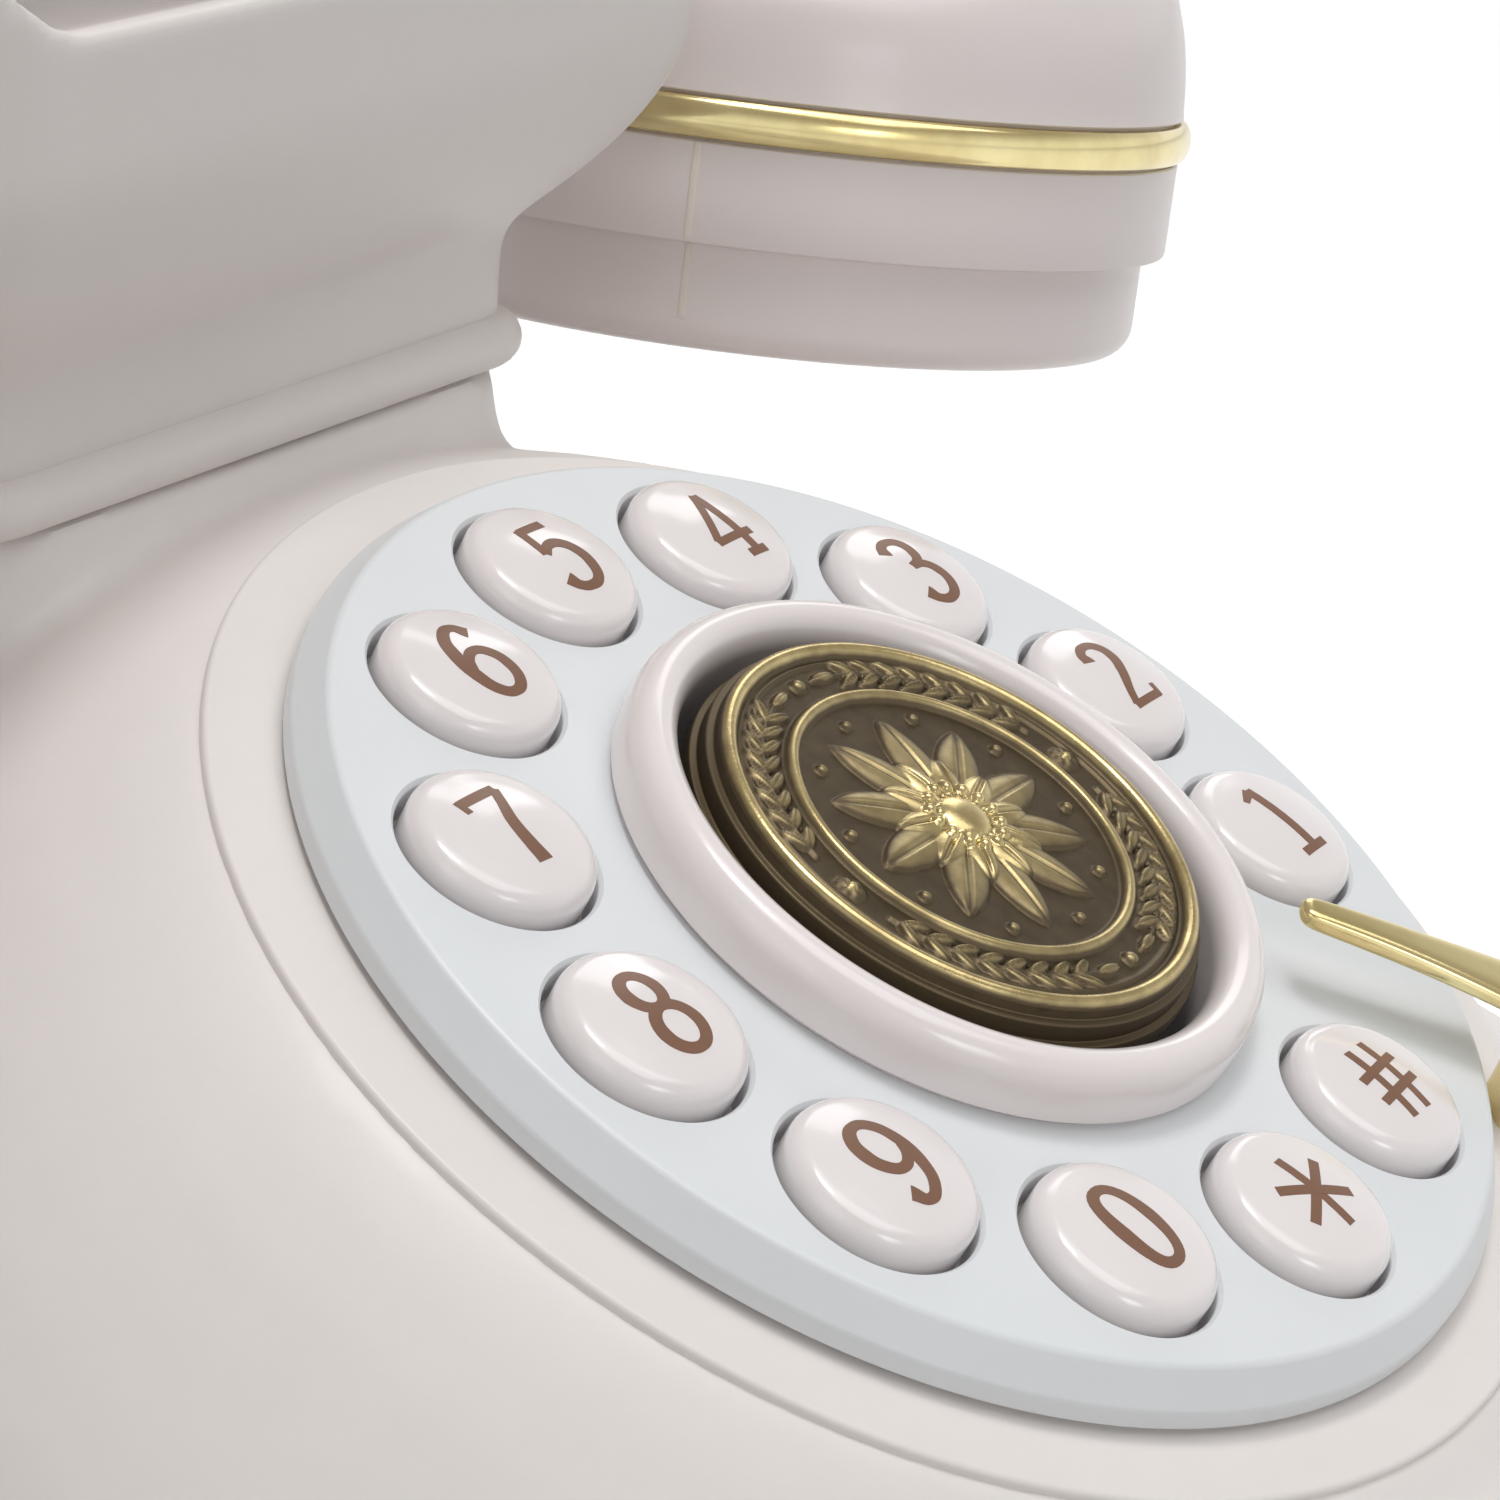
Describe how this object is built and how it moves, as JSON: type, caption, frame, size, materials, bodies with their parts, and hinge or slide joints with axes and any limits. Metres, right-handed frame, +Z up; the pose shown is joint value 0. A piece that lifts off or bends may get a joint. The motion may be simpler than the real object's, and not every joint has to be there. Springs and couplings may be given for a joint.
{
  "type": "push-button table telephone",
  "caption": "Small cream table telephone: sloped body, round push-button dial with gilt finger stop, rocking centre medallion, waisted cradle and bell-ended handset.",
  "frame": {"origin": "centre of the base outline at table height, under the feet", "axes": "+Z up, +X along the handset towards the earpiece, -Y is the front with the dial"},
  "size_m": [0.2266, 0.1502, 0.1245],
  "materials": {
    "shell_cream": "satin lacquer",
    "base_cream": "plain moulded",
    "handset_cream": "satin gloss",
    "dial_white": "silky white",
    "ring_ivory": "polished",
    "key_white": "polished",
    "knob_ivory": "polished",
    "gilt_brass": "bright gilt",
    "aged_brass": "antiqued relief",
    "foot_rubber": "matte",
    "mat_rubber": "matte",
    "circuit_board": "satin",
    "black_plastic": "satin",
    "screw_steel": "plated",
    "weight_iron": "bare"
  },
  "bodies": {
    "base": {"body_shell": "shell_cream", "cradle_housing": "shell_cream", "base_plate": "base_cream", "rubber_feet": "foot_rubber", "base_screws": "screw_steel", "ballast_weight": "weight_iron", "main_board": "circuit_board", "ringer_speaker": "black_plastic", "line_jack": "black_plastic", "handset_jack": "black_plastic", "ringer_switch": "black_plastic", "tone_switch": "black_plastic", "dial_plate": "dial_white", "centre_ring": "ring_ivory", "rocker_pin": "screw_steel", "finger_stop": "gilt_brass", "key_mat": "mat_rubber", "keypad_board": "circuit_board", "keypad_screws": "screw_steel", "hook_spring": "screw_steel", "hook_bracket": "base_cream", "hook_switch": "black_plastic"},
    "handset": {"handset_front": "handset_cream", "handset_rear": "handset_cream", "ear_ring": "gilt_brass", "mouth_ring": "gilt_brass", "ear_cap": "handset_cream", "mouth_cap": "handset_cream", "receiver": "black_plastic", "microphone": "screw_steel", "handset_weight": "weight_iron", "handset_socket": "black_plastic"},
    "hook": {"hook_plunger_left": "knob_ivory", "hook_plunger_right": "knob_ivory", "hook_yoke": "knob_ivory"},
    "key_1": {"key_1": "key_white"},
    "key_2": {"key_2": "key_white"},
    "key_3": {"key_3": "key_white"},
    "key_4": {"key_4": "key_white"},
    "key_5": {"key_5": "key_white"},
    "key_6": {"key_6": "key_white"},
    "key_7": {"key_7": "key_white"},
    "key_8": {"key_8": "key_white"},
    "key_9": {"key_9": "key_white"},
    "key_0": {"key_0": "key_white"},
    "key_star": {"key_star": "key_white"},
    "key_hash": {"key_hash": "key_white"},
    "medallion": {"medallion": "aged_brass"},
    "ringer_knob": {"ringer_knob": "knob_ivory"},
    "tone_knob": {"tone_knob": "knob_ivory"}
  },
  "joints": [
    {"name": "handset_lift", "type": "slide", "parent": "base", "child": "handset", "axis": [0, 0, 1], "range_m": [0, 0.07]},
    {"name": "hook_rise", "type": "slide", "parent": "base", "child": "hook", "axis": [0, 0, 1], "range_m": [0, 0.003], "deforming": ["hook_spring"]},
    {"name": "key_1_press", "type": "slide", "parent": "base", "child": "key_1", "axis": [0, 0.4415, -0.8973], "range_m": [0, 0.0015], "stiffness_N_per_m": 300, "springref_m": -0.002},
    {"name": "key_2_press", "type": "slide", "parent": "base", "child": "key_2", "axis": [0, 0.4415, -0.8973], "range_m": [0, 0.0015], "stiffness_N_per_m": 300, "springref_m": -0.002},
    {"name": "key_3_press", "type": "slide", "parent": "base", "child": "key_3", "axis": [0, 0.4415, -0.8973], "range_m": [0, 0.0015], "stiffness_N_per_m": 300, "springref_m": -0.002},
    {"name": "key_4_press", "type": "slide", "parent": "base", "child": "key_4", "axis": [0, 0.4415, -0.8973], "range_m": [0, 0.0015], "stiffness_N_per_m": 300, "springref_m": -0.002},
    {"name": "key_5_press", "type": "slide", "parent": "base", "child": "key_5", "axis": [0, 0.4415, -0.8973], "range_m": [0, 0.0015], "stiffness_N_per_m": 300, "springref_m": -0.002},
    {"name": "key_6_press", "type": "slide", "parent": "base", "child": "key_6", "axis": [0, 0.4415, -0.8973], "range_m": [0, 0.0015], "stiffness_N_per_m": 300, "springref_m": -0.002},
    {"name": "key_7_press", "type": "slide", "parent": "base", "child": "key_7", "axis": [0, 0.4415, -0.8973], "range_m": [0, 0.0015], "stiffness_N_per_m": 300, "springref_m": -0.002},
    {"name": "key_8_press", "type": "slide", "parent": "base", "child": "key_8", "axis": [0, 0.4415, -0.8973], "range_m": [0, 0.0015], "stiffness_N_per_m": 300, "springref_m": -0.002},
    {"name": "key_9_press", "type": "slide", "parent": "base", "child": "key_9", "axis": [0, 0.4415, -0.8973], "range_m": [0, 0.0015], "stiffness_N_per_m": 300, "springref_m": -0.002},
    {"name": "key_0_press", "type": "slide", "parent": "base", "child": "key_0", "axis": [0, 0.4415, -0.8973], "range_m": [0, 0.0015], "stiffness_N_per_m": 300, "springref_m": -0.002},
    {"name": "key_star_press", "type": "slide", "parent": "base", "child": "key_star", "axis": [0, 0.4415, -0.8973], "range_m": [0, 0.0015], "stiffness_N_per_m": 300, "springref_m": -0.002},
    {"name": "key_hash_press", "type": "slide", "parent": "base", "child": "key_hash", "axis": [0, 0.4415, -0.8973], "range_m": [0, 0.0015], "stiffness_N_per_m": 300, "springref_m": -0.002},
    {"name": "medallion_rock", "type": "hinge", "parent": "base", "child": "medallion", "pos_m": [0, -0.02203, 0.04803], "axis": [1, 0, 0], "range_deg": [-3, 3], "stiffness_Nm_per_rad": 0.05},
    {"name": "ringer_slide", "type": "slide", "parent": "base", "child": "ringer_knob", "axis": [1, 0, 0], "range_m": [0, 0.0025]},
    {"name": "tone_slide", "type": "slide", "parent": "base", "child": "tone_knob", "axis": [1, 0, 0], "range_m": [0, 0.0025]}
  ],
  "couplings": [
    {"joint": "hook_rise", "follows": "handset_lift", "ratio": 0.0428}
  ]
}
